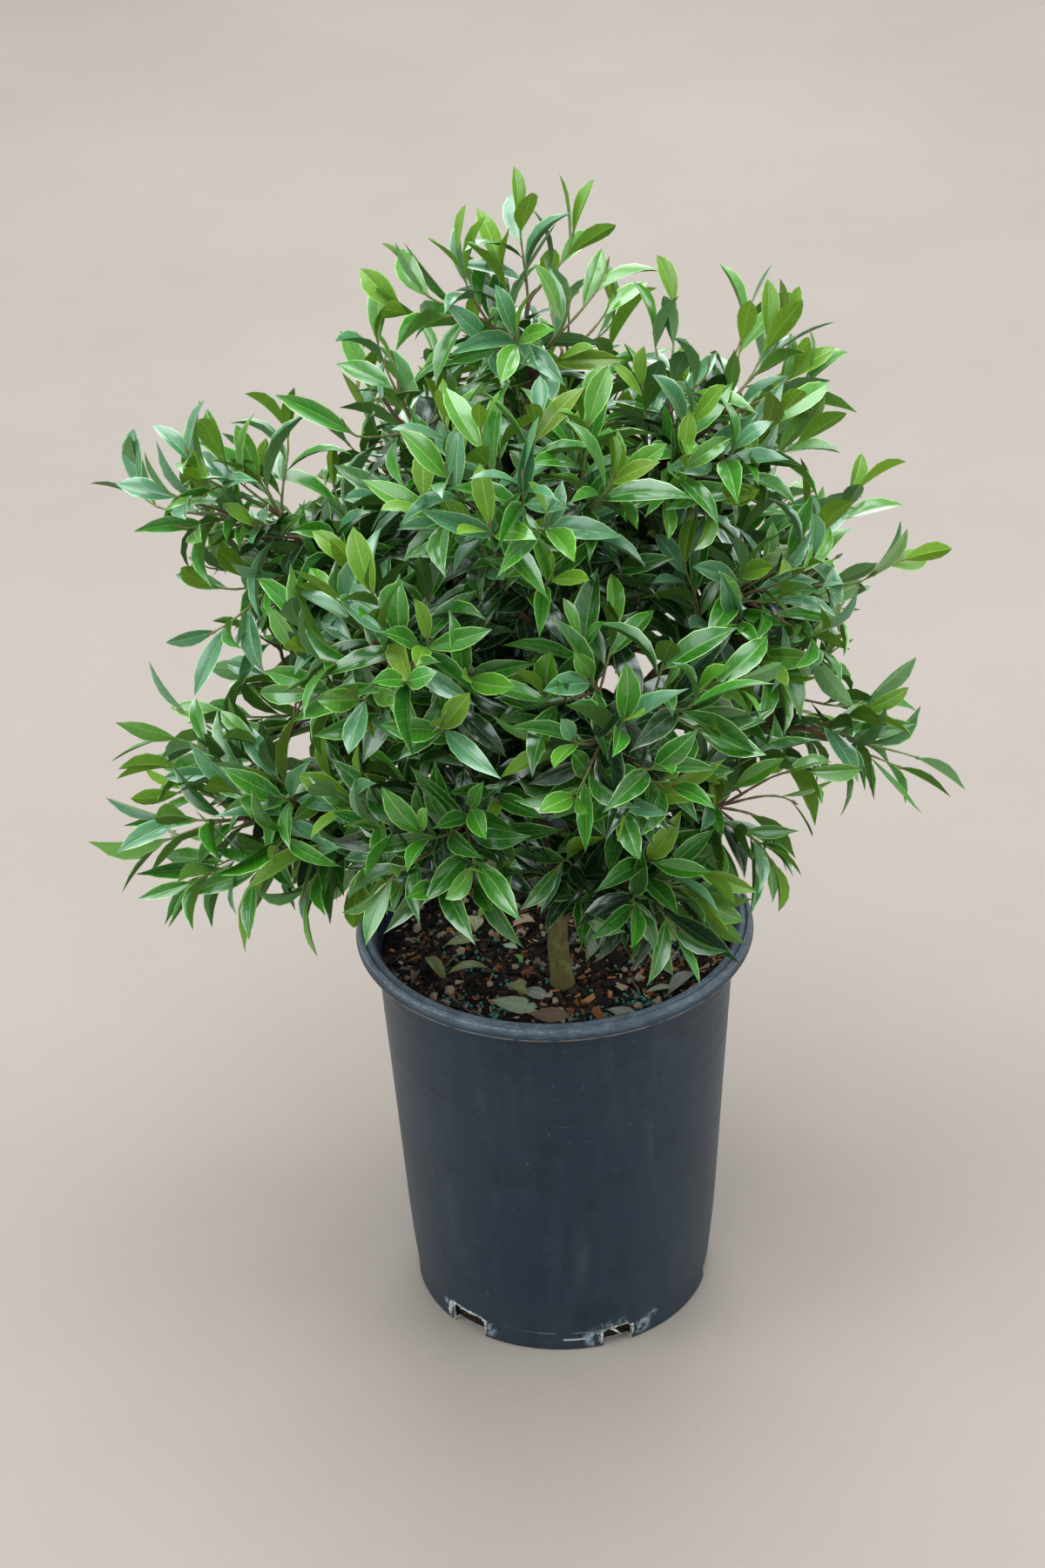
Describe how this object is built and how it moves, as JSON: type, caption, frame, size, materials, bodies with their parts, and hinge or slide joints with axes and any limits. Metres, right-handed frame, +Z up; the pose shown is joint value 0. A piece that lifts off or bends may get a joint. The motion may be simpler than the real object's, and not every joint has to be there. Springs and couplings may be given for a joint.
{
  "type": "potted camellia shrub",
  "caption": "Bushy small-leaved evergreen shrub with a short single stem and a loosely domed crown, growing in a round black nursery pot with a rolled rim and notched foot.",
  "frame": {"origin": "centre of the pot's flat underside, where it stands", "axes": "+Z up along the pot's axis; the front of the plant faces -Y; +X to the right of the front"},
  "size_m": [0.602, 0.5643, 0.867],
  "materials": {
    "pot_plastic": "satin, dusty charcoal black blow-moulded plastic",
    "potting_mix": "rough, dark composted bark with paler chips and fertiliser prills",
    "stem_bark": "matte, smooth greenish tan bark",
    "bough_bark": "matte, smooth reddish brown bark",
    "foliage": "glossy dark green leaves, paler and matte beneath"
  },
  "bodies": {
    "root": {"bough_middle_back_left": "bough_bark", "bough_middle_back_right": "bough_bark", "bough_middle_front": "bough_bark", "bough_middle_front_left": "bough_bark", "bough_middle_left": "bough_bark", "bough_middle_right": "bough_bark", "bough_shoulder_back": "bough_bark", "bough_shoulder_front": "bough_bark", "bough_shoulder_left": "bough_bark", "bough_shoulder_right": "bough_bark", "bough_skirt_back": "bough_bark", "bough_skirt_back_left": "bough_bark", "bough_skirt_back_right": "bough_bark", "bough_skirt_front_left": "bough_bark", "bough_skirt_front_right": "bough_bark", "bough_skirt_left": "bough_bark", "bough_skirt_right": "bough_bark", "foliage_crown_top": "foliage", "foliage_middle_back_left": "foliage", "foliage_middle_back_right": "foliage", "foliage_middle_front": "foliage", "foliage_middle_front_left": "foliage", "foliage_middle_left": "foliage", "foliage_middle_right": "foliage", "foliage_shoulder_back": "foliage", "foliage_shoulder_front": "foliage", "foliage_shoulder_left": "foliage", "foliage_shoulder_right": "foliage", "foliage_skirt_back": "foliage", "foliage_skirt_back_left": "foliage", "foliage_skirt_back_right": "foliage", "foliage_skirt_front_left": "foliage", "foliage_skirt_front_right": "foliage", "foliage_skirt_left": "foliage", "foliage_skirt_right": "foliage", "pot": "pot_plastic", "potting_mix": "potting_mix", "trunk": "stem_bark"}
  },
  "joints": []
}
